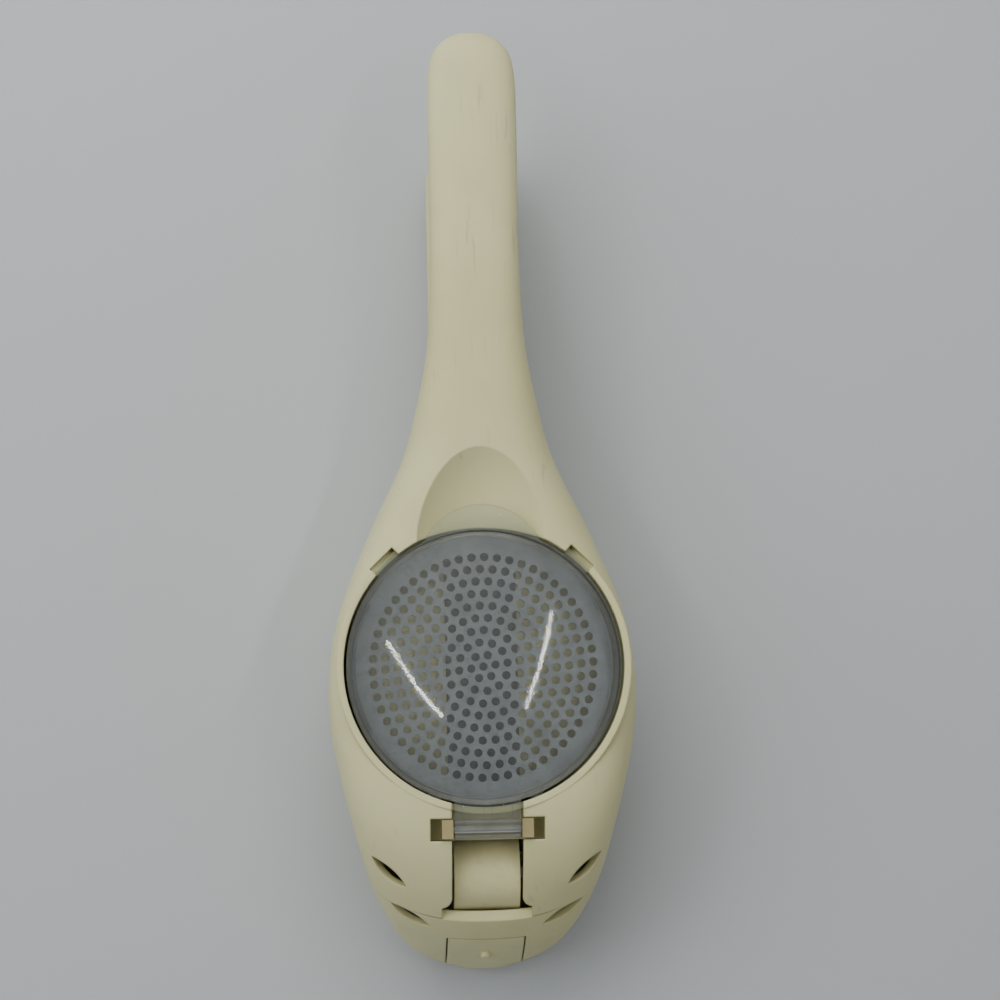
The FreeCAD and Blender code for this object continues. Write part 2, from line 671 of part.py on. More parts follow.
for side in (-1, 1):
    turn = math.radians(90 - side * lug_angle)
    notch = block(-1.0, 2.3, -lug_width / 2 - 0.4, lug_width / 2 + 0.4, rim_height - 3.4, rim_height + FAR)
    notch.translate(Vector(opening_radius, 0, 0))
    notch.rotate(Vector(), Vector(0, 0, 1), math.degrees(turn))
    cutters.append(notch)
for x, y, seat in casing_places:
    cutters.append(upright(screw_radius, x, y, seam_at_posts - 12.0, seam_at_posts + 11.0))
cutters.extend(gills())
upper = upper.cut(cutters)
upper = join(upper, hinge_seat())
node("upper_shell", feature("UpperShell", upper))

# Lower shell: posts, flap opening with its bosses, stop rib for the flap's spring
lock_y = nose - 31.6
lock_z = lock_top - 2.2
lock_pin_radius = 1.0
lock_boss = 2.4
rib_y = nose - 24.5


def flap_way(gap):
    """The space of the nose lock flap in the front wall, with a gap round it, wider where it swings."""
    return block(-lock_half - gap, lock_half + gap, -FAR, nose - 29.0, lock_bottom - 4 * gap, lock_top + gap)


lower = hollow_casing.common(seam_solid(False))
below_seam = outer_body.common(seam_solid(False))
extras = []
for x, y, seat in casing_places:
    extras.append(upright(post_radius, x, y, 1.0, FAR))
for x, y, seat in chamber_places:
    extras.append(upright(post_radius, x, y, 1.0, chamber_floor))
for side in (-1, 1):
    near = lock_half + lock_gap + 0.3
    boss = Part.makeCylinder(lock_boss, 3.4, Vector(side * near, lock_y, lock_z), Vector(side, 0, 0))
    arm = block(-1.7, 1.7, lock_y - 8.0, lock_y + lock_boss, lock_z - lock_boss, lock_z + lock_boss)
    arm.translate(Vector(side * (near + 1.7), 0, 0))
    extras.extend([boss, arm])
extras.append(block(-5.0, 5.0, rib_y, rib_y + 2.0, 1.0, spring_z + 5.0))
lower = join(lower, [shape.common(below_seam) for shape in extras])
cutters = [flap_way(lock_gap), lever_way()]
for x, y, seat in casing_places + chamber_places:
    cutters.append(upright(screw_radius, x, y, -1.0, FAR))
    cutters.append(upright(screw_head_radius, x, y, -1.0, seat + screw_head_thickness))
cutters.append(block(-FAR, FAR, -FAR, FAR, -FAR, 0.0))
cutters.append(Part.makeCylinder(lock_pin_radius, 2 * lock_half + 12.0,
                                 Vector(-lock_half - 6.0, lock_y, lock_z), Vector(1, 0, 0)))
cutters.extend(gills())
lower = lower.cut(cutters)
node("lower_shell", feature("LowerShell", lower))

# ---------------------------------------------------------------- pressing chamber and sieve

wall = post("chamber_wall", "sieve_radius", "chamber_depth", "0", "0", "chamber_floor")
flange = post("chamber_flange", "flange_radius", "flange_thickness", "0", "0", "chamber_top - flange_thickness")
chamber_parts = [wall, flange]
for index, (x, y, seat) in enumerate(chamber_places):
    lug = post("chamber_lug_%d" % index, "post_radius", "chamber_depth / 2", "0", "0", "chamber_floor")
    bind(lug, {"Placement.Base.x": "%.4f * opening_radius" % (x / opening_radius),
               "Placement.Base.y": "%.4f * opening_radius" % (y / opening_radius)})
    chamber_parts.append(lug)
for side, start in (("left", "-ear_start - ear_thickness"), ("right", "ear_start")):
    eye = rod("ear_eye_" + side, "pin_radius + bush_wall + 2.6", "ear_thickness", start, "pivot_y", "pivot_height")
    beam = box("ear_beam_" + side, "ear_thickness", "-pivot_y - bore_radius * 0.86", "chamber_top - 34.5",
               start, "pivot_y", "pivot_height - 1.6")
    chamber_parts.extend([eye, beam])
chamber_solid = fuse("chamber_solid", chamber_parts)
bore = post("chamber_bore", "bore_radius", "chamber_depth + 2", "0", "0", "chamber_floor - 1")
notch = box("arm_notch", "arm_width + 2.4", "4 * opening_radius", "plunger_top - 0.4 - chamber_floor + 1",
            "-arm_width / 2 - 1.2", "-2 * opening_radius", "chamber_floor - 1")
pin_bore = rod("pin_bore", "pin_radius + bush_wall", "4 * ear_start", "-2 * ear_start", "pivot_y", "pivot_height")
chamber_tools = [bore, notch, pin_bore]
for index, (x, y, seat) in enumerate(chamber_places):
    hole = post("chamber_screw_hole_%d" % index, "screw_radius", "chamber_depth / 2", "0", "0", "chamber_floor - 2")
    bind(hole, {"Placement.Base.x": "%.4f * opening_radius" % (x / opening_radius),
                "Placement.Base.y": "%.4f * opening_radius" % (y / opening_radius)})
    chamber_tools.append(hole)
node("pressing_chamber", cut("PressingChamber", chamber_solid, fuse("chamber_tools", chamber_tools)))

gasket_outer = post("gasket_outer", "sieve_radius", "gasket_thickness", "0", "0", "chamber_top")
gasket_inner = post("gasket_inner", "bore_radius + 0.4", "gasket_thickness", "0", "0", "chamber_top")
node("sieve_gasket", cut("SieveGasket", gasket_outer, gasket_inner))

sieve = new_body("SievePlate")
disc_sketch = new_sketch(sieve, "SieveDisc", "XY_Plane")
ring(disc_sketch, "sieve_radius", "0", "0")
pad(sieve, "SievePad", disc_sketch, "sieve_thickness", False)
hole_sketch = new_sketch(sieve, "SieveCentreHole", "XY_Plane")
ring(hole_sketch, "hole_diameter / 2", "0", "0")
pocket(sieve, "SieveCentrePocket", hole_sketch, "4 * sieve_thickness")
for step in range(1, sieve_rings + 1):
    hole_sketch = new_sketch(sieve, "SieveHole%d" % step, "XY_Plane")
    ring(hole_sketch, "hole_diameter / 2", "%d * sieve_pitch" % step, "0")
    first_hole = pocket(sieve, "SievePocket%d" % step, hole_sketch, "4 * sieve_thickness")
    pattern = sieve.newObject("PartDesign::PolarPattern", "SieveRing%d" % step)
    pattern.Originals = [first_hole]
    pattern.Axis = (origin_part(sieve, "Z_Axis"), [""])
    pattern.Angle = 360
    pattern.Occurrences = 6 * step
    sieve.Tip = pattern
sieve.Placement = Placement(Vector(), Rotation(Vector(0, 0, 1), sieve_phase))
place(sieve, "0", "0", "sieve_floor")
node("sieve_plate", sieve)

# ---------------------------------------------------------------- pivot

node("main_pivot_pin", rod("MainPivotPin", "pin_radius", "2 * pin_half", "-pin_half", "pivot_y", "pivot_height"))
for side, start in (("left", "-ear_start - ear_thickness"), ("right", "ear_start")):
    outside = rod("bush_outside_" + side, "pin_radius + bush_wall", "ear_thickness", start, "pivot_y", "pivot_height")
    inside = rod("bush_inside_" + side, "pin_radius", "ear_thickness", start, "pivot_y", "pivot_height")
    node("pivot_bush_" + side, cut("PivotBush_" + side, outside, inside))
clips = []
for side, start in (("left", "-ear_start - ear_thickness - clip_thickness"), ("right", "ear_start + ear_thickness")):
    outside = rod("clip_outside_" + side, "pin_radius + 1.7", "clip_thickness", start, "pivot_y", "pivot_height")
    inside = rod("clip_inside_" + side, "pin_radius", "clip_thickness", start, "pivot_y", "pivot_height")
    clips.append(cut("clip_" + side, outside, inside))
node("pivot_clips", group("PivotClips", clips))

# ---------------------------------------------------------------- squeeze lever with its arm

lever_start_y = "opening_radius + 3"
lever_start_z = "lever_start_height"
lever = new_body("SqueezeLever")
lever_side = new_sketch(lever, "LeverSide", "YZ_Plane")
outline(lever_side, [
    (lever_start_y, lever_start_z),
    ("lever_end", "lever_end_height"),
    ("lever_end", "lever_end_height - lever_end_depth"),
    ("lever_knee", "lever_knee_z - lever_wall"),
    (lever_start_y, lever_start_z + " - lever_front_depth"),
])
pad(lever, "LeverPad", lever_side, "lever_width")
lever_hollow = new_sketch(lever, "LeverHollow", "YZ_Plane")
outline(lever_hollow, [
    ("opening_radius + 1", lever_start_z + " + 6"),
    ("lever_end - lever_wall", "lever_end_height + 6"),
    ("lever_end - lever_wall", "lever_floor_end"),
    ("lever_knee", "lever_knee_z"),
    (lever_start_y, lever_start_z + " - lever_front_depth + lever_wall"),
    ("opening_radius + 1", lever_start_z + " - lever_front_depth + lever_wall + 0.36"),
])
pocket(lever, "LeverPocket", lever_hollow, "lever_width - 2 * lever_wall")
doc.recompute()
round_corners(lever, "LeverHollowCorners", lever_end - lever_wall, lever_width / 2 - lever_wall,
              "lever_corner - lever_wall")
round_corners(lever, "LeverCorners", lever_end, lever_width / 2, "lever_corner")

arm = new_body("PressArm")
arm_side = new_sketch(arm, "ArmSide", "YZ_Plane")
outline(arm_side, [
    ("pivot_y + pin_radius + 2.6", "pivot_height + 1.4"),
    ("pivot_y + knuckle_radius + 3", "plunger_bottom - 2.3"),
    ("0", "plunger_bottom - 2.3"),
    ("opening_radius - 1", "arm_rear_height"),
    ("lever_knee", "lever_knee_z + arm_thickness"),
    ("lever_knee + arm_hold", "arm_end_z + arm_thickness"),
    ("lever_knee + arm_hold", "arm_end_z"),
    ("lever_knee", "lever_knee_z"),
    (lever_start_y, lever_start_z + " - lever_front_depth + lever_wall"),
    ("0", "plunger_bottom - 9.2"),
    ("pivot_y + knuckle_radius + 3", "plunger_bottom - 7.6"),
    ("pivot_y + pin_radius + 2.6", "pivot_height - 4"),
])
pad(arm, "ArmPad", arm_side, "arm_width")
arm_bores = new_sketch(arm, "ArmBores", "YZ_Plane")
ring(arm_bores, "cross_pin_radius", "0", "cross_pin_z")
pocket(arm, "ArmPocket", arm_bores, "2 * arm_width")

# Two rivets hold the arm to the lever's floor, with a round head inside and a flat one outside.
rivets = []
for index, shift in enumerate(("5", "14")):
    foot = "lever_knee_z - lever_wall - 1.4"
    rise = "lever_wall + arm_thickness + 1.2"
    rivet_y = "lever_knee + " + shift
    shank = post("rivet_shank_%d" % index, "rivet_radius", rise, "0", rivet_y, foot)
    head = post("rivet_head_%d" % index, "1.7 * rivet_radius", "1.4", "0", rivet_y, foot + " + " + rise)
    rivets.append(fuse("rivet_%d" % index, [shank, head]))
rivet_set = group("ArmRivets", rivets)
node("arm_rivets", rivet_set)
node("squeeze_lever", cut("SqueezeLeverBored", lever, rivet_set))
node("press_arm", cut("PressArmBored", arm, rivet_set))

knuckle_blank = rod("knuckle_blank", "knuckle_radius", "knuckle_width", "-knuckle_width / 2", "pivot_y", "pivot_height")
knuckle_bore = rod("knuckle_bore", "pin_radius + running_gap", "2 * knuckle_width", "-knuckle_width", "pivot_y",
                   "pivot_height")
node("lever_knuckle", cut("LeverKnuckle", cut("knuckle_ring", knuckle_blank, knuckle_bore), arm))

node("plunger_cross_pin", rod("PlungerCrossPin", "cross_pin_radius", "arm_width + 9.2", "-arm_width / 2 - 4.6",
                              "0", "cross_pin_z"))

# ---------------------------------------------------------------- plunger

plunger_disc = post("plunger_disc", "plunger_radius", "plunger_thickness", "0", "0", "plunger_bottom")
plunger_solids = [plunger_disc]
plunger_tools = []
for side, start in (("left", "-arm_width / 2 - 1.2 - plunger_lug"), ("right", "arm_width / 2 + 1.2")):
    plunger_solids.append(box("plunger_lug_" + side, "plunger_lug", "12", "plunger_bottom - cross_pin_z + 4.1",
                              start, "-6", "cross_pin_z - 4"))
for shift, tag in ((-0.6, "front"), (1.1, "rear")):
    plunger_tools.append(rod("lug_slot_" + tag, "cross_pin_radius + slot_gap", "3 * arm_width",
                             "-1.5 * arm_width", "%.1f" % shift, "cross_pin_z"))
plunger_tools.append(box("lug_slot_middle", "3 * arm_width", "1.7", "2 * (cross_pin_radius + slot_gap)",
                         "-1.5 * arm_width", "-0.6", "cross_pin_z - cross_pin_radius - slot_gap"))
plunger_tools.append(box("spine_seat", "spine_width", "3 * plunger_radius", "spine_thickness + spine_sink + 1",
                         "-spine_width / 2", "-1.5 * plunger_radius",
                         "plunger_top - spine_sink - spine_thickness"))
wiper_bore = post("wiper_bore", "plunger_radius - 1", "1.6", "0", "0", "plunger_top - 3.4")
wiper_band = post("wiper_band", "plunger_radius + 1", "1.6", "0", "0", "plunger_top - 3.4")
plunger_tools.append(cut("wiper_groove", wiper_band, wiper_bore))
plunger_plain = cut("plunger_plain", fuse("plunger_solid", plunger_solids), fuse("plunger_tools", plunger_tools))


def stud_places():
    """Places of the studs: every hole of the sieve that is clear of the plunger's bar and its rim."""
    places = []
    for step in range(1, sieve_rings + 1):
        for number in range(6 * step):
            angle = math.radians(sieve_phase) + 2 * math.pi * number / (6 * step)
            x = step * sieve_pitch * math.cos(angle)
            y = step * sieve_pitch * math.sin(angle)
            if abs(x) > spine_width / 2 + 2 * stud_radius:
                places.append((x, y))
    return places


stud_top = plunger_top + plunger_reserve + sieve_thickness
studs = [upright(stud_radius, x, y, plunger_top - 0.3, stud_top) for x, y in stud_places()]
doc.recompute()
node("plunger_head", feature("PlungerHead", plunger_plain.Shape.fuse(studs)))

spine_blank = box("spine_blank", "spine_width", "2 * plunger_radius", "spine_thickness",
                  "-spine_width / 2", "-plunger_radius", "plunger_top - spine_sink - spine_thickness")
spine_round = post("spine_round", "plunger_radius - 1", "plunger_thickness", "0", "0", "plunger_bottom")
node("plunger_spine", common("PlungerSpine", spine_blank, spine_round))

ring_outer = post("ring_outer", "plunger_radius + 0.2", "1.6", "0", "0", "plunger_top - 3.4")
ring_inner = post("ring_inner", "plunger_radius - 1", "1.6", "0", "0", "plunger_top - 3.4")
node("plunger_wiper", cut("PlungerWiper", ring_outer, ring_inner))

# ---------------------------------------------------------------- lid and its hinge

# The lid is one clear moulding: a dome with a rim, turned round Z, and what grows out of it.
sphere_radius = (dome_radius ** 2 + dome_rise ** 2) / (2 * dome_rise)
sphere_centre = lid_rim_top + dome_rise - sphere_radius


def on_sphere(radius, reach):
    """Point of the dome's side view at a reach from the axis."""
    return Vector(reach, 0, sphere_centre + math.sqrt(radius ** 2 - reach ** 2))


def dome_solid():
    """Dome and rim as one turned solid."""
    outside = [on_sphere(sphere_radius, share * dome_radius) for share in (0, 0.5, 1)]
    inner_radius = sphere_radius - lid_wall
    inner_reach = dome_radius - lid_wall
    inside = [on_sphere(inner_radius, share * inner_reach) for share in (1, 0.5, 0)]
    foot_outer = Vector(dome_radius, 0, lid_rim_top - lid_rim_depth)
    foot_inner = Vector(inner_reach, 0, lid_rim_top - lid_rim_depth)
    edges = [
        Part.Arc(*outside).toShape(),
        Part.makeLine(outside[2], foot_outer),
        Part.makeLine(foot_outer, foot_inner),
        Part.makeLine(foot_inner, inside[0]),
        Part.Arc(*inside).toShape(),
        Part.makeLine(inside[2], outside[0]),
    ]
    return Part.Face(Part.Wire(edges)).revolve(Vector(), Vector(0, 0, 1), 360)


def skirt_arcs():
    """The two arcs that hang from the dome, left and right, short of the sieve."""
    high = lid_rim_top + 0.6 * dome_rise
    low = sieve_top + skirt_gap
    skirt_radius = dome_radius - skirt_inset
    ring_solid = upright(skirt_radius, 0, 0, low, high).cut(upright(skirt_radius - skirt_wall, 0, 0, low, high))
    band = block(-skirt_radius, skirt_radius, -skirt_reach, skirt_reach, low, high)
    ball = Part.makeSphere(sphere_radius - lid_wall / 2, Vector(0, 0, sphere_centre))
    return ring_solid.common(band).common(ball)


def lifting_tab():
    """The round bulge that a finger lifts."""
    high = lid_rim_top + tab_rise
    low = high - tab_thickness
    centre = dome_radius + tab_reach - tab_radius
    blank = upright(tab_radius, 0, centre, low, high)
    return blank.cut(upright(dome_radius - lid_wall / 2, 0, 0, low - 1, high + 1))


def hinge_leaf():
    """The leaf with its three ribs and its barrel, short of the inside of the dome."""
    reach = nose + lid_gap + lid_wall / 2
    leaf = block(-leaf_half, leaf_half, lid_hinge_y, reach, lid_hinge_z - 0.9, lid_hinge_z + 0.9)
    pieces = [leaf]
    for middle in (-leaf_half + 1.0, 0.0, leaf_half - 1.0):
        rib = block(middle - 1.0, middle + 1.0, lid_hinge_y, reach + 4.0, lid_hinge_z, lid_hinge_z + 3.4)
        pieces.append(rib)
    ends = Vector(-leaf_half, lid_hinge_y, lid_hinge_z)
    pieces.append(Part.makeCylinder(barrel_radius, 2 * leaf_half, ends, Vector(1, 0, 0)))
    inside = upright(dome_radius - lid_wall / 2, 0, 0, 0, lid_rim_top)
    return [piece.cut(inside) for piece in pieces]


def snap_lug(side):
    """One of the two lugs that snap into the collar's notches."""
    lug = block(-lid_wall / 2, 1.7, -lug_width / 2, lug_width / 2, lid_rim_top - 2.4, lid_rim_top - 0.6)
    lug.translate(Vector(dome_radius, 0, 0))
    lug.rotate(Vector(), Vector(0, 0, 1), 90 - side * lug_angle)
    return lug


lid_shape = dome_solid()
lid_shape = join(lid_shape, [skirt_arcs(), lifting_tab()] + hinge_leaf() + [snap_lug(-1), snap_lug(1)])
lid_solid = feature("lid_solid", lid_shape)
lid_bore = rod("lid_bore", "lid_pin_radius + running_gap", "4 * leaf_half", "-2 * leaf_half", "lid_hinge_y",
               "lid_hinge_z")
node("lid", cut("Lid", lid_solid, lid_bore))

bracket_base = box("bracket_base", "2 * (leaf_half + bracket_ear + 0.4)", "5", "1.8", "-leaf_half - bracket_ear - 0.4",
                   "lid_hinge_y - 2.5", "hinge_seat_z")
bracket_parts = [bracket_base]
for side, start in (("left", "-leaf_half - bracket_ear - 0.4"), ("right", "leaf_half + 0.4")):
    bracket_parts.append(box("bracket_ear_" + side, "bracket_ear", "5", "7", start, "lid_hinge_y - 2.5",
                             "hinge_seat_z"))
bracket_bore = rod("bracket_bore", "lid_pin_radius", "4 * leaf_half", "-2 * leaf_half", "lid_hinge_y", "lid_hinge_z")
node("lid_hinge_bracket", cut("LidHingeBracket", fuse("bracket_solid", bracket_parts), bracket_bore))
node("lid_hinge_pin", rod("LidHingePin", "lid_pin_radius", "2 * (leaf_half + bracket_ear + 0.4)",
                          "-leaf_half - bracket_ear - 0.4", "lid_hinge_y", "lid_hinge_z"))

# ---------------------------------------------------------------- nose lock

flap = hollow_casing.common(flap_way(0.0))
lugs = []
for side in (-1, 1):
    lug = Part.makeCylinder(1.9, 2.6, Vector(side * (lock_half - 2.6), lock_y, lock_z), Vector(side, 0, 0))
    web = block(-1.3, 1.3, lock_y - 8.0, lock_y, lock_z - 1.9, lock_z + 1.9)
    web.translate(Vector(side * (lock_half - 1.3), 0, 0))
    lugs.extend([lug, web.common(outer_body)])
nib = Part.makeCylinder(1.3, 3.4, Vector(0, nose - 37.4, 21.8), Vector(0, -0.9, 0.42))
flap = join(flap, lugs + [nib])
lock_bore = Part.makeCylinder(lock_pin_radius + running_gap, 4 * lock_half,
                              Vector(-2 * lock_half, lock_y, lock_z), Vector(1, 0, 0))
flap = flap.cut(lock_bore)
node("nose_lock", feature("NoseLock", flap))
lock_pin = Part.makeCylinder(lock_pin_radius, 2 * (lock_half + 3.6), Vector(-lock_half - 3.6, lock_y, lock_z), Vector(1, 0, 0))
node("nose_lock_pin", feature("NoseLockPin", lock_pin))

# ---------------------------------------------------------------- springs, rivets and screws

lock_spring_foot = ("0", "-opening_radius - 25", "spring_z")
node("nose_lock_spring", coil("NoseLockSpring", "lock_spring_radius", "lock_spring_length", "lock_pitch",
                              "lock_wire", lock_spring_foot, Rotation(Vector(1, 0, 0), 90)))
return_spring_foot = ("0", "opening_radius + return_setback", "return_foot + return_wire")
node("return_spring", coil("ReturnSpring", "return_spring_radius", "return_seat - return_foot - 2 * return_wire",
                           "return_pitch", "return_wire", return_spring_foot, Rotation()))


def screw(x, y, seat, shank_top):
    """A screw from below: head in its well, shank up into the post above."""
    head = upright(screw_head_radius, x, y, seat, seat + screw_head_thickness)
    slot = block(x - 0.4, x + 0.4, y - FAR, y + FAR, seat - 1.0, seat + 0.7)
    return head.fuse(upright(screw_radius, x, y, seat, shank_top)).cut(slot)


casing_screws = [screw(x, y, seat, seam_at_posts + 9.0) for x, y, seat in casing_places]
node("casing_screws", feature("CasingScrews", Part.makeCompound(casing_screws)))
chamber_screws = [screw(x, y, seat, chamber_floor + 4.5) for x, y, seat in chamber_places]
node("chamber_screws", feature("ChamberScrews", Part.makeCompound(chamber_screws)))

# ---------------------------------------------------------------- check and write

doc.recompute()
for thing in doc.Objects:
    if "Invalid" in thing.State or "Error" in thing.State:
        raise RuntimeError("%s did not build" % thing.Name)
for name, thing in nodes.items():
    shape = thing.Shape
    if shape.isNull() or not shape.isValid() or not shape.Solids:
        raise RuntimeError("%s has no sound shape" % name)
os.makedirs("parts", exist_ok=True)
for name, thing in nodes.items():
    thing.Shape.exportStep("parts/" + name + ".step")
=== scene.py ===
import math

import bpy
from mathutils import Matrix, Vector

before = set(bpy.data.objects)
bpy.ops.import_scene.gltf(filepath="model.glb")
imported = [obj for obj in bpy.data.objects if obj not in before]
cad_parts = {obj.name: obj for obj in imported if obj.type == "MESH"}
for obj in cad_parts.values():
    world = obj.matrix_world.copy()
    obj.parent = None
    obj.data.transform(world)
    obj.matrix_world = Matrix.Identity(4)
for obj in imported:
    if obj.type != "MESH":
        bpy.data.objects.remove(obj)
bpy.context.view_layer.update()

bl_info = {
    "name": "Garlic press",
    "version": (1, 0, 0),
    "blender": (4, 5, 0),
    "location": "3D View > Sidebar > Garlic press",
    "description": "Finishes for a garlic press with a long handle and a clear dome lid",
    "category": "Object",
}

MM = 0.001


# ---------------------------------------------------------------- shader maths


class Value:
    """A number on a socket. Arithmetic on it adds Math nodes."""

    def __init__(self, finish, socket):
        self.finish = finish
        self.socket = socket

    def maths(self, operation, first, second=0.0):
        node = self.finish.node("ShaderNodeMath", {"operation": operation}, {0: first, 1: second})
        return Value(self.finish, node.outputs[0])

    def __add__(self, other):
        return self.maths("ADD", self, other)

    def __sub__(self, other):
        return self.maths("SUBTRACT", self, other)

    def __mul__(self, other):
        return self.maths("MULTIPLY", self, other)

    def __truediv__(self, other):
        return self.maths("DIVIDE", self, other)

    def __pow__(self, other):
        return self.maths("POWER", self, other)

    def __radd__(self, other):
        return self.maths("ADD", other, self)

    def __rsub__(self, other):
        return self.maths("SUBTRACT", other, self)

    def __rmul__(self, other):
        return self.maths("MULTIPLY", other, self)

    def above(self, edge, soft):
        """0 below an edge and 1 above it, over a soft step."""
        settings = {"interpolation_type": "SMOOTHSTEP"}
        inputs = {"Value": self, "From Min": edge - soft, "From Max": edge + soft}
        node = self.finish.node("ShaderNodeMapRange", settings, inputs)
        return Value(self.finish, node.outputs["Result"])


class Finish:
    """One material and the nodes in it."""

    def __init__(self, name):
        self.material = bpy.data.materials.new(name)
        self.material.use_nodes = True
        self.tree = self.material.node_tree
        self.tree.nodes.clear()
        self.out = self.node("ShaderNodeOutputMaterial", {}, {})
        self.coords = self.node("ShaderNodeTexCoord", {}, {}).outputs["Object"]

    def node(self, kind, settings, inputs):
        """Add a node: its settings first, then the values or links of its sockets."""
        made = self.tree.nodes.new(kind)
        for key, value in settings.items():
            setattr(made, key, value)
        for key, value in inputs.items():
            if isinstance(value, Value):
                self.tree.links.new(value.socket, made.inputs[key])
            elif isinstance(value, bpy.types.NodeSocket):
                self.tree.links.new(value, made.inputs[key])
            else:
                made.inputs[key].default_value = value
        return made

    def stretched(self, stretch):
        """Object coordinates stretched along the three axes."""
        inputs = {0: self.coords, 1: stretch}
        return self.node("ShaderNodeVectorMath", {"operation": "MULTIPLY"}, inputs).outputs[0]

    def noise(self, size, detail=3.0, stretch=(1.0, 1.0, 1.0), rough=0.5):
        """Noise from 0 to 1 with features of about the given size, in metres."""
        inputs = {
            "Vector": self.stretched(stretch),
            "Scale": 1.0 / size,
            "Detail": detail,
            "Roughness": rough,
        }
        return Value(self, self.node("ShaderNodeTexNoise", {}, inputs).outputs["Fac"])

    def cells(self, size):
        """Distance to the nearest of scattered points, in cells, and a random value for each."""
        inputs = {"Vector": self.coords, "Scale": 1.0 / size}
        node = self.node("ShaderNodeTexVoronoi", {"feature": "F1"}, inputs)
        chance = self.node("ShaderNodeSeparateColor", {}, {"Color": node.outputs["Color"]})
        return Value(self, node.outputs["Distance"]), Value(self, chance.outputs[0])

    def specks(self, spacing, radius, share):
        """Scattered dots: 1 inside a dot, on a share of the cells."""
        distance, chance = self.cells(spacing)
        inside = 1.0 - distance.above(radius / spacing, 0.3 * radius / spacing)
        return inside * chance.above(1.0 - share, 0.01)

    def blend(self, factor, first, second):
        """A colour between two colours."""
        node = self.node("ShaderNodeMix", {"data_type": "RGBA"}, {})
        for key, value in ((0, factor), (6, first), (7, second)):
            if isinstance(value, Value):
                self.tree.links.new(value.socket, node.inputs[key])
            elif isinstance(value, bpy.types.NodeSocket):
                self.tree.links.new(value, node.inputs[key])
            else:
                node.inputs[key].default_value = value if key == 0 else tuple(value) + (1.0,)
        return node.outputs[2]

    def bump(self, height, depth, edge=0.0):
        """A normal bumped by a height of some depth in metres, over edges rounded by a small radius."""
        inputs = {"Height": height, "Distance": depth, "Strength": 1.0}
        if edge:
            rounded = self.node("ShaderNodeBevel", {"samples": 6}, {"Radius": edge})
            inputs["Normal"] = rounded.outputs[0]
        return self.node("ShaderNodeBump", {}, inputs).outputs[0]

    def principled(self, inputs):
        """The surface shader."""
        return self.node("ShaderNodeBsdfPrincipled", {}, inputs)

    def finish(self, shader):
        """Link the shader to the output, and give the material."""
        self.tree.links.new(shader.outputs[0], self.out.inputs["Surface"])
        return self.material


# ---------------------------------------------------------------- sizes and colours a user would change


class GARLICPRESS_colours(bpy.types.PropertyGroup):
    """Colours of the garlic press."""

    ivory: bpy.props.FloatVectorProperty(
        name="Ivory", description="Moulded plastic of the casing", subtype="COLOR", size=3,
        min=0.0, max=1.0, default=(0.680, 0.660, 0.375))
    aged: bpy.props.FloatVectorProperty(
        name="Aged ivory", description="Where the plastic has yellowed", subtype="COLOR", size=3,
        min=0.0, max=1.0, default=(0.640, 0.610, 0.315))
    inner: bpy.props.FloatVectorProperty(
        name="Inner ivory", description="Plunger and knuckle", subtype="COLOR", size=3,
        min=0.0, max=1.0, default=(0.660, 0.630, 0.350))
    # Painted shade: darker than bare steel, for the dim room the sieve reflects
    sieve: bpy.props.FloatVectorProperty(
        name="Sieve steel", description="Satin steel of the sieve", subtype="COLOR", size=3,
        min=0.0, max=1.0, default=(0.330, 0.345, 0.365))
    steel: bpy.props.FloatVectorProperty(
        name="Steel", description="Pins, screws and rivets", subtype="COLOR", size=3,
        min=0.0, max=1.0, default=(0.560, 0.565, 0.575))
    dark_steel: bpy.props.FloatVectorProperty(
        name="Dark steel", description="Press arm and plunger bar", subtype="COLOR", size=3,
        min=0.0, max=1.0, default=(0.165, 0.170, 0.175))
    # Painted light: paler than bare cast metal, to brighten the chamber deep inside the press
    cast: bpy.props.FloatVectorProperty(
        name="Cast metal", description="Pressing chamber", subtype="COLOR", size=3,
        min=0.0, max=1.0, default=(0.620, 0.620, 0.600))
    # Painted shade: the bracket's ears are cream plastic, painted tan for the shade of the hinge slot
    tan: bpy.props.FloatVectorProperty(
        name="Tan plastic", description="Bracket of the lid's hinge", subtype="COLOR", size=3,
        min=0.0, max=1.0, default=(0.400, 0.330, 0.160))
    floor: bpy.props.FloatVectorProperty(
        name="Floor", description="Plain pale floor", subtype="COLOR", size=3,
        min=0.0, max=1.0, default=(0.500, 0.525, 0.545))


class GARLICPRESS_sizes(bpy.types.PropertyGroup):
    """Sizes of the finishes."""

    grain: bpy.props.FloatProperty(
        name="Grain", description="Size of the plastic's moulded grain",
        unit="LENGTH", default=0.45 * MM)
    grain_depth: bpy.props.FloatProperty(
        name="Grain depth", description="Depth of the moulded grain",
        unit="LENGTH", default=0.012 * MM)
    edge: bpy.props.FloatProperty(
        name="Edge", description="Radius that moulded edges are rounded by",
        unit="LENGTH", default=0.8 * MM)
    speck_spacing: bpy.props.FloatProperty(
        name="Speck spacing", description="Distance between specks of dirt",
        unit="LENGTH", default=7.0 * MM)
    brush: bpy.props.FloatProperty(
        name="Brush line", description="Width of a brushed line in steel",
        unit="LENGTH", default=0.12 * MM)


def colours():
    """The colours in use."""
    return bpy.context.scene.garlicpress_colours


def sizes():
    """The sizes in use."""
    return bpy.context.scene.garlicpress_sizes


# ---------------------------------------------------------------- finishes

# Clear lid: how hazy it is face on and at a glance, how strongly it reflects, and its index
LID_VEIL = 0.050
LID_EDGE_VEIL = 0.55
LID_GLOSS = 0.75
LID_IOR = 1.52

# Subsurface colour spread of the ivory plastic
IVORY_SPREAD = (1.0, 0.75, 0.40)

# Metals that no colour setting covers
DULL_STEEL = (0.50, 0.50, 0.45)
BRONZE = (0.52, 0.36, 0.17)
WIRE_STEEL = (0.34, 0.35, 0.37)

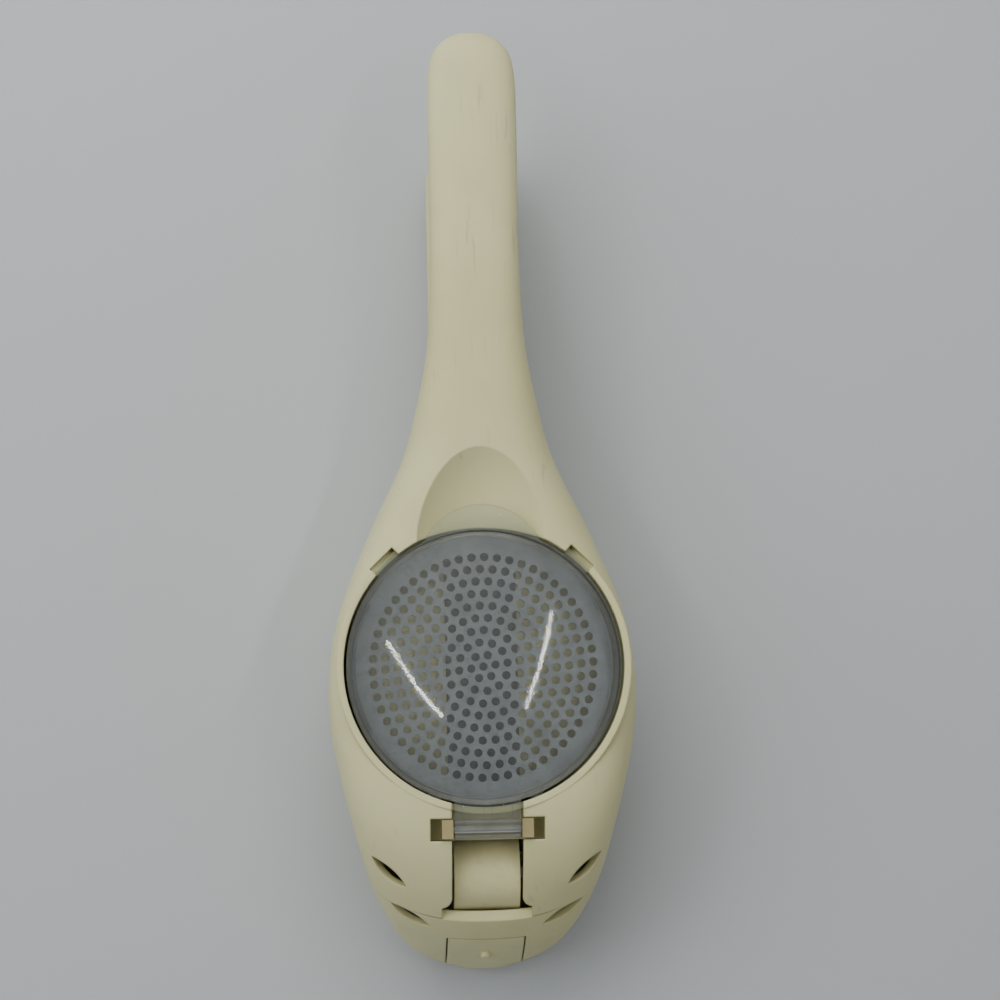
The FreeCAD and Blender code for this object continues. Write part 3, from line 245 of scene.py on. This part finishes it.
# How noise is stretched for brushed lines: the lines run along the axis with the small number
ALONG_X = (0.05, 1.0, 1.0)
ALONG_Y = (1.0, 0.04, 1.0)
ALONG_Z = (1.0, 1.0, 0.1)
NO_WAY = (1.0, 1.0, 1.0)


def ivory_plastic(name, wear):
    """Matte moulded plastic: fine grain, slow yellowing, specks of dirt and worn scuffs."""
    finish = Finish(name)
    slow = finish.noise(60 * MM, 2.0)
    cloud = finish.noise(9 * MM, 4.0)
    grain = finish.noise(sizes().grain, 2.0, rough=0.6)
    scuff_lines = finish.noise(1.1 * MM, 4.0, stretch=(1.0, 0.08, 0.5))
    scuff_spots = finish.noise(26 * MM, 3.0)
    scuffs = scuff_lines.above(0.63, 0.05) * scuff_spots.above(0.56, 0.08) * wear
    dots = finish.specks(sizes().speck_spacing, 0.16 * MM, 0.16)
    pits = finish.specks(0.6 * sizes().speck_spacing, 0.10 * MM, 0.30)
    colour = finish.blend(slow.above(0.52, 0.22), colours().ivory, colours().aged)
    colour = finish.blend(cloud.above(0.60, 0.20) * 0.16, colour, (0.50, 0.45, 0.29))
    colour = finish.blend(scuffs * 0.30, colour, (0.33, 0.31, 0.25))
    colour = finish.blend(dots * 0.75, colour, (0.16, 0.13, 0.09))
    colour = finish.blend(pits * 0.35, colour, (0.26, 0.22, 0.14))
    height = grain + cloud * 2.0 - pits * 1.5 - scuffs * 1.2
    shader = finish.principled({
        "Base Color": colour,
        "Roughness": 0.40 + cloud * 0.14 + grain * 0.10 - scuffs * 0.12,
        "Specular IOR Level": 0.42,
        "Subsurface Weight": 0.12,
        "Subsurface Scale": 2.5 * MM,
        "Subsurface Radius": IVORY_SPREAD,
        "Normal": finish.bump(height, sizes().grain_depth, sizes().edge),
    })
    return finish.finish(shader)


def smooth_ivory(name, painted_light_lift=1.0):
    """Smoother ivory of the working parts, with dried film in patches. A lift makes it paler: painted
    light for a part in shade.
    """
    finish = Finish(name)
    inner = tuple(min(1.0, painted_light_lift * part) for part in colours().inner)
    aged = tuple(min(1.0, painted_light_lift * part) for part in colours().aged)
    cloud = finish.noise(5 * MM, 4.0)
    fine = finish.noise(0.8 * MM, 2.0)
    film = finish.noise(3.2 * MM, 5.0, rough=0.65).above(0.60, 0.10)
    colour = finish.blend(cloud.above(0.5, 0.3) * 0.5, inner, aged)
    colour = finish.blend(film * 0.18, colour, (0.42, 0.37, 0.24))
    shader = finish.principled({
        "Base Color": colour,
        "Roughness": 0.30 + cloud * 0.15 + film * 0.20,
        "Subsurface Weight": 0.10,
        "Subsurface Scale": 2.0 * MM,
        "Subsurface Radius": IVORY_SPREAD,
        "Normal": finish.bump(fine + film * 2.0, 0.010 * MM, 0.3 * MM),
    })
    return finish.finish(shader)


def clear_plastic(name):
    """Clear moulded plastic: see-through face on, glossy at a glance, lightly scratched and hazed."""
    finish = Finish(name)
    scratch_a = finish.noise(0.35 * MM, 2.0, stretch=(1.0, 0.04, 1.0)).above(0.70, 0.02)
    scratch_b = finish.noise(0.35 * MM, 2.0, stretch=(0.05, 1.0, 1.0)).above(0.71, 0.02)
    patches = finish.noise(14 * MM, 3.0).above(0.52, 0.12)
    scratches = (scratch_a + scratch_b) * patches
    smear = finish.noise(8 * MM, 4.0)
    waves = finish.noise(11 * MM, 1.0)
    normal = finish.bump(waves * 6.0 - scratches * 0.6, 0.012 * MM, 0.25 * MM)
    clear = finish.node("ShaderNodeBsdfTransparent", {}, {"Color": (0.955, 0.970, 0.965, 1.0)})
    haze = finish.principled({
        "Base Color": finish.blend(smear, (0.68, 0.70, 0.67), (0.76, 0.77, 0.73)),
        "Roughness": 0.30 + smear * 0.2,
        "Normal": normal,
    })
    gloss = finish.principled({
        "Base Color": (0.93, 0.95, 0.96, 1.0),
        "Metallic": 1.0,
        "Roughness": 0.045 + scratches * 0.25 + smear * 0.03,
        "Normal": normal,
    })
    weight = finish.node("ShaderNodeLayerWeight", {}, {"Blend": 0.5, "Normal": normal})
    facing = Value(finish, weight.outputs["Facing"])
    veil = LID_VEIL + scratches * 0.10 + (facing ** 3.0) * LID_EDGE_VEIL
    fresnel = finish.node("ShaderNodeFresnel", {}, {"IOR": LID_IOR, "Normal": normal})
    glance = Value(finish, fresnel.outputs[0]) * LID_GLOSS
    body = finish.node("ShaderNodeMixShader", {}, {0: veil, 1: clear.outputs[0], 2: haze.outputs[0]})
    whole = finish.node("ShaderNodeMixShader", {}, {0: glance, 1: body.outputs[0], 2: gloss.outputs[0]})
    return finish.finish(whole)


def metal(name, colour, rough, brush_way, depth=0.004 * MM, tarnish=0.15, edge=0.2 * MM):
    """Brushed or turned metal: lines along one way, clouded tarnish and a few nicks."""
    finish = Finish(name)
    colour = tuple(colour)
    lines = finish.noise(sizes().brush, 2.0, stretch=brush_way)
    cloud = finish.noise(7 * MM, 4.0)
    stain = finish.noise(2.4 * MM, 5.0, rough=0.65).above(0.60, 0.10)
    nicks = finish.specks(3.2 * MM, 0.14 * MM, 0.25)
    dull = tuple(0.62 * part for part in colour)
    bright = tuple(min(1.0, 1.18 * part) for part in colour)
    shade = finish.blend(lines.above(0.5, 0.35), colour, bright)
    shade = finish.blend(cloud.above(0.55, 0.2) * tarnish * 2.0, shade, dull)
    shade = finish.blend(stain * tarnish, shade, tuple(0.5 * part for part in colour))
    height = lines - nicks * 3.0 + cloud * 1.5
    shader = finish.principled({
        "Base Color": shade,
        "Metallic": 1.0,
        "Roughness": rough + lines * 0.10 + cloud * 0.08 + stain * 0.10,
        "Normal": finish.bump(height, depth, edge),
    })
    return finish.finish(shader)


def rubber(name):
    """Soft matte silicone with a fine tooth."""
    finish = Finish(name)
    tooth = finish.noise(0.3 * MM, 3.0)
    cloud = finish.noise(6 * MM, 3.0)
    shader = finish.principled({
        "Base Color": finish.blend(cloud, (0.46, 0.46, 0.42), (0.55, 0.54, 0.48)),
        "Roughness": 0.62 + tooth * 0.15,
        "Normal": finish.bump(tooth, 0.02 * MM, 0.15 * MM),
    })
    return finish.finish(shader)


def shade_painted_plastic(name):
    """Cream plastic of the hinge bracket, painted tan as painted shade from the hinge slot it sits in.
    """
    finish = Finish(name)
    cloud = finish.noise(3 * MM, 4.0)
    fine = finish.noise(0.5 * MM, 2.0)
    shader = finish.principled({
        "Base Color": finish.blend(cloud, colours().tan, tuple(0.8 * part for part in colours().tan)),
        "Roughness": 0.38 + cloud * 0.15,
        "Normal": finish.bump(fine + cloud, 0.012 * MM, 0.25 * MM),
    })
    return finish.finish(shader)


def plain_floor(name):
    """Pale painted board, nearly even."""
    finish = Finish(name)
    slow = finish.noise(0.25, 3.0)
    fine = finish.noise(1.5 * MM, 3.0)
    shade = finish.blend(slow, colours().floor, tuple(0.95 * part for part in colours().floor))
    shader = finish.principled({
        "Base Color": shade,
        "Roughness": 0.62 + fine * 0.08,
        "Specular IOR Level": 0.25,
        "Normal": finish.bump(fine, 0.02 * MM),
    })
    return finish.finish(shader)


def coat(node, material):
    """Give a CAD node its finish."""
    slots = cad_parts[node].material_slots
    if not slots:
        raise RuntimeError(node + " has no slot for a finish")
    for slot in slots:
        slot.material = material


# ---------------------------------------------------------------- operators


class GARLICPRESS_OT_casing(bpy.types.Operator):
    """Finish the casing: both shells and the nose lock flap"""

    bl_idname = "garlicpress.casing"
    bl_label = "Casing"

    def execute(self, context):
        coat("upper_shell", ivory_plastic("ivory_upper", 1.0))
        coat("lower_shell", ivory_plastic("ivory_lower", 0.6))
        coat("nose_lock", ivory_plastic("ivory_flap", 0.4))
        return {"FINISHED"}


class GARLICPRESS_OT_lever(bpy.types.Operator):
    """Finish the squeeze lever, its knuckle, arm and rivets"""

    bl_idname = "garlicpress.lever"
    bl_label = "Squeeze lever"

    def execute(self, context):
        coat("squeeze_lever", ivory_plastic("ivory_lever", 0.8))
        coat("lever_knuckle", smooth_ivory("ivory_knuckle"))
        coat("press_arm", metal("arm_steel", colours().dark_steel, 0.36, (1.0, 0.03, 1.0)))
        coat("arm_rivets", metal("rivet_steel", colours().steel, 0.28, (1.0, 1.0, 0.2)))
        return {"FINISHED"}


class GARLICPRESS_OT_lid(bpy.types.Operator):
    """Finish the clear lid, its hinge pin and its bracket"""

    bl_idname = "garlicpress.lid"
    bl_label = "Lid"

    def execute(self, context):
        coat("lid", clear_plastic("clear_lid"))
        # The bracket's tan colour is painted shade on cream plastic
        coat("lid_hinge_bracket", shade_painted_plastic("bracket_in_painted_shade"))
        coat("lid_hinge_pin", metal("hinge_pin_steel", DULL_STEEL, 0.50, ALONG_X))
        return {"FINISHED"}


class GARLICPRESS_OT_sieve(bpy.types.Operator):
    """Finish the sieve and its gasket"""

    bl_idname = "garlicpress.sieve"
    bl_label = "Sieve"

    def execute(self, context):
        # The sieve's dark steel colour is painted shade for the dim room it reflects
        satin_painted_dim = metal("sieve_steel", colours().sieve, 0.34, (0.04, 1.0, 1.0), 0.003 * MM, 0.22)
        coat("sieve_plate", satin_painted_dim)
        coat("sieve_gasket", rubber("gasket_silicone"))
        return {"FINISHED"}


class GARLICPRESS_OT_press(bpy.types.Operator):
    """Finish the pressing chamber and the plunger"""

    bl_idname = "garlicpress.press"
    bl_label = "Chamber and plunger"

    def execute(self, context):
        # The chamber's pale colour is painted light, paler than bare cast metal
        coat("pressing_chamber", metal("cast_chamber", colours().cast, 0.48, NO_WAY, 0.02 * MM))
        # A lift of 1.35 paints light on the plunger, which lies in shade under the sieve
        coat("plunger_head", smooth_ivory("ivory_plunger_painted_light", 1.35))
        coat("plunger_spine", metal("spine_steel", colours().dark_steel, 0.40, ALONG_Y))
        coat("plunger_wiper", rubber("wiper_silicone"))
        coat("plunger_cross_pin", metal("cross_pin_steel", colours().steel, 0.25, ALONG_X))
        return {"FINISHED"}


class GARLICPRESS_OT_fittings(bpy.types.Operator):
    """Finish the pins, bushes, clips, springs and screws"""

    bl_idname = "garlicpress.fittings"
    bl_label = "Fittings"

    def execute(self, context):
        turned = metal("turned_steel", colours().steel, 0.26, ALONG_X)
        screws = metal("screw_steel", colours().steel, 0.30, ALONG_Z)
        bronze = metal("bush_bronze", BRONZE, 0.38, ALONG_X)
        wire = metal("spring_wire", WIRE_STEEL, 0.30, NO_WAY)
        for node in ("main_pivot_pin", "nose_lock_pin"):
            coat(node, turned)
        for node in ("casing_screws", "chamber_screws"):
            coat(node, screws)
        for node in ("pivot_bush_left", "pivot_bush_right"):
            coat(node, bronze)
        for node in ("pivot_clips", "nose_lock_spring", "return_spring"):
            coat(node, wire)
        return {"FINISHED"}


# Rows of small lamps overhead, seen as dotted lines in the dome: lamp spacing, lamp width, and glow
ROW_PITCH = 0.026
ROW_WIDTH = 0.020
ROW_GLOW = 70.0
ROWS = {
    "row_right": ((0.66, 0.56, 1.10), (0.40, -0.30, 1.22)),
    "row_left": ((-0.78, 0.30, 1.10), (-0.33, -0.38, 1.24)),
}

# Studio: floor size, world colour and strength
FLOOR_SIZE = 6.0
WORLD_COLOUR = (0.95, 0.975, 1.0, 1.0)
WORLD_STRENGTH = 0.26

# Camera: where it looks, and from where
LOOK_AT = Vector((5.6 * MM, 45.0 * MM, 45.0 * MM))
ELEVATION = math.radians(81.95)
SIDE = math.radians(3.2)
ROLL = math.radians(-0.88)
DISTANCE = 0.6175
LENS = 82.4


def camera_matrix():
    """The camera's place and turn: nearly overhead, a little to the left."""
    forward = Vector((
        math.sin(SIDE),
        math.cos(ELEVATION) * math.cos(SIDE),
        -math.sin(ELEVATION) * math.cos(SIDE),
    )).normalized()
    right = Vector((1, 0, 0)) - forward * forward.x
    right.normalize()
    up = right.cross(forward)
    turned_right = right * math.cos(ROLL) + up * math.sin(ROLL)
    turned_up = up * math.cos(ROLL) - right * math.sin(ROLL)
    turn = Matrix((turned_right, turned_up, -forward)).transposed().to_4x4()
    return Matrix.Translation(LOOK_AT - forward * DISTANCE) @ turn


def area_light(name, place, look, size, power, colour=(1.0, 1.0, 1.0)):
    """A soft rectangular light that faces a point."""
    light = bpy.data.lights.new(name, "AREA")
    light.shape = "RECTANGLE"
    light.size = size[0]
    light.size_y = size[1]
    light.energy = power
    light.color = colour
    item = bpy.data.objects.new(name, light)
    item.location = place
    item.rotation_euler = (Vector(look) - Vector(place)).to_track_quat("-Z", "Y").to_euler()
    bpy.context.scene.collection.objects.link(item)
    return item


def lamp_strip(name):
    """A strip that glows in a row of small dots along its length."""
    finish = Finish(name)
    apart = finish.node("ShaderNodeSeparateXYZ", {}, {"Vector": finish.coords})
    along = Value(finish, apart.outputs["X"]) / ROW_PITCH
    part = along.maths("FRACT", along)
    on = part.above(0.25, 0.03) * (1.0 - part.above(0.75, 0.03))
    glow = finish.blend(on, (0.0, 0.0, 0.0), (1.0, 0.98, 0.94))
    shader = finish.principled({
        "Base Color": (0.0, 0.0, 0.0, 1.0),
        "Specular IOR Level": 0.0,
        "Emission Color": glow,
        "Emission Strength": ROW_GLOW,
    })
    return finish.finish(shader)


def light_row(name, start, end):
    """A row of small lamps between two points, facing the object."""
    start = Vector(start)
    end = Vector(end)
    length = (end - start).length
    bpy.ops.mesh.primitive_plane_add(size=1.0)
    item = bpy.context.object
    item.name = name
    for corner in item.data.vertices:
        corner.co.x *= length
        corner.co.y *= ROW_WIDTH
    along = (end - start).normalized()
    back = ((start + end) / 2).normalized()
    across = back.cross(along).normalized()
    back = along.cross(across)
    turn = Matrix((along, across, back)).transposed().to_4x4()
    item.matrix_world = Matrix.Translation((start + end) / 2) @ turn
    item.data.materials.append(lamp_strip(name + "_lamps"))
    return item


class GARLICPRESS_OT_stage(bpy.types.Operator):
    """Set the floor, the soft lights and the camera"""

    bl_idname = "garlicpress.stage"
    bl_label = "Stage"

    def execute(self, context):
        scene = context.scene
        bpy.ops.mesh.primitive_plane_add(size=FLOOR_SIZE, location=(0, 0, 0))
        floor = context.object
        floor.name = "floor"
        floor.data.materials.append(plain_floor("floor_board"))
        world = bpy.data.worlds.new("studio")
        world.use_nodes = True
        background = world.node_tree.nodes["Background"]
        background.inputs["Color"].default_value = WORLD_COLOUR
        background.inputs["Strength"].default_value = WORLD_STRENGTH
        scene.world = world
        warm = (1.0, 0.99, 0.965)
        key = area_light("key", (-0.14, 0.50, 0.56), (0, 0.10, 0), (0.7, 0.45), 3.9, warm)
        side = area_light("side", (-0.95, 0.15, 0.85), (0, 0.04, 0), (0.8, 0.8), 4.5)
        for light in (key, side):
            light.visible_glossy = False
        for name, (start, end) in ROWS.items():
            light_row(name, start, end)
        camera = bpy.data.cameras.new("camera")
        camera.lens = LENS
        camera.sensor_width = 36.0
        camera.clip_start = 0.01
        item = bpy.data.objects.new("camera", camera)
        item.matrix_world = camera_matrix()
        scene.collection.objects.link(item)
        scene.camera = item
        return {"FINISHED"}


STEPS = ("casing", "lever", "lid", "sieve", "press", "fittings", "stage")


class GARLICPRESS_PT_panel(bpy.types.Panel):
    """Steps, sizes and colours of the garlic press"""

    bl_idname = "GARLICPRESS_PT_panel"
    bl_label = "Garlic press"
    bl_space_type = "VIEW_3D"
    bl_region_type = "UI"
    bl_category = "Garlic press"

    def draw(self, context):
        for step in STEPS:
            self.layout.operator("garlicpress." + step)
        for group in (context.scene.garlicpress_sizes, context.scene.garlicpress_colours):
            for name in group.bl_rna.properties.keys():
                if name not in ("rna_type", "name"):
                    self.layout.prop(group, name)


CLASSES = (
    GARLICPRESS_colours,
    GARLICPRESS_sizes,
    GARLICPRESS_OT_casing,
    GARLICPRESS_OT_lever,
    GARLICPRESS_OT_lid,
    GARLICPRESS_OT_sieve,
    GARLICPRESS_OT_press,
    GARLICPRESS_OT_fittings,
    GARLICPRESS_OT_stage,
    GARLICPRESS_PT_panel,
)


def register():
    for item in CLASSES:
        bpy.utils.register_class(item)
    bpy.types.Scene.garlicpress_colours = bpy.props.PointerProperty(type=GARLICPRESS_colours)
    bpy.types.Scene.garlicpress_sizes = bpy.props.PointerProperty(type=GARLICPRESS_sizes)


def unregister():
    del bpy.types.Scene.garlicpress_sizes
    del bpy.types.Scene.garlicpress_colours
    for item in reversed(CLASSES):
        bpy.utils.unregister_class(item)


def main():
    """Finish every piece in order."""
    register()
    for step in STEPS:
        getattr(bpy.ops.garlicpress, step)()


if __name__ == "__main__":
    main()
